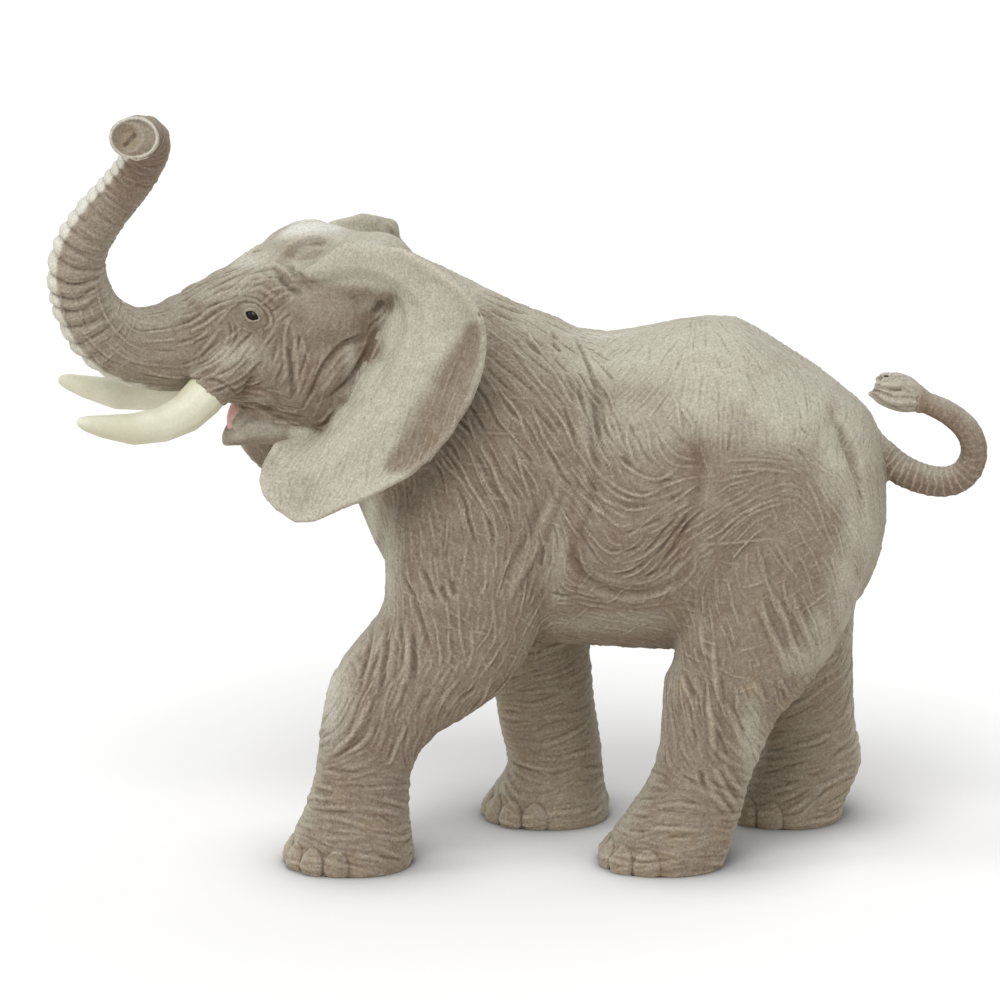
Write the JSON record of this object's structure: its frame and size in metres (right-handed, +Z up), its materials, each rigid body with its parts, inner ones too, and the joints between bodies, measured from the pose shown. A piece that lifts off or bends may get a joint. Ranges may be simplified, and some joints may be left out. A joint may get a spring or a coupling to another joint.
{
  "type": "toy elephant figure",
  "caption": "Walking African bull elephant figurine with raised trunk, spread ears, long tusks, open mouth and curled tufted tail, standing on flat soles.",
  "frame": {"origin": "on the standing surface, under the middle of the figure's outer box", "axes": "+X from head to tail, -Y to the figure's own left, +Z up"},
  "size_m": [0.2146, 0.0796, 0.1789],
  "materials": {
    "skin": "warm grey-brown PVC, dark wash in the creases and pale dry-brushed ridges",
    "mouth": "satin pink paint",
    "ivory": "satin ivory paint",
    "eye": "gloss black-brown paint"
  },
  "bodies": {
    "root": {"torso_left_shell": "skin", "torso_right_shell": "skin", "front_left_leg": "skin", "front_right_leg": "skin", "rear_left_leg": "skin", "rear_right_leg": "skin", "head": "skin", "trunk": "skin", "lower_jaw": "skin", "tongue": "mouth", "tail": "skin", "left_ear": "skin", "right_ear": "skin", "left_tusk": "ivory", "right_tusk": "ivory", "left_eye": "eye", "right_eye": "eye"}
  },
  "joints": []
}
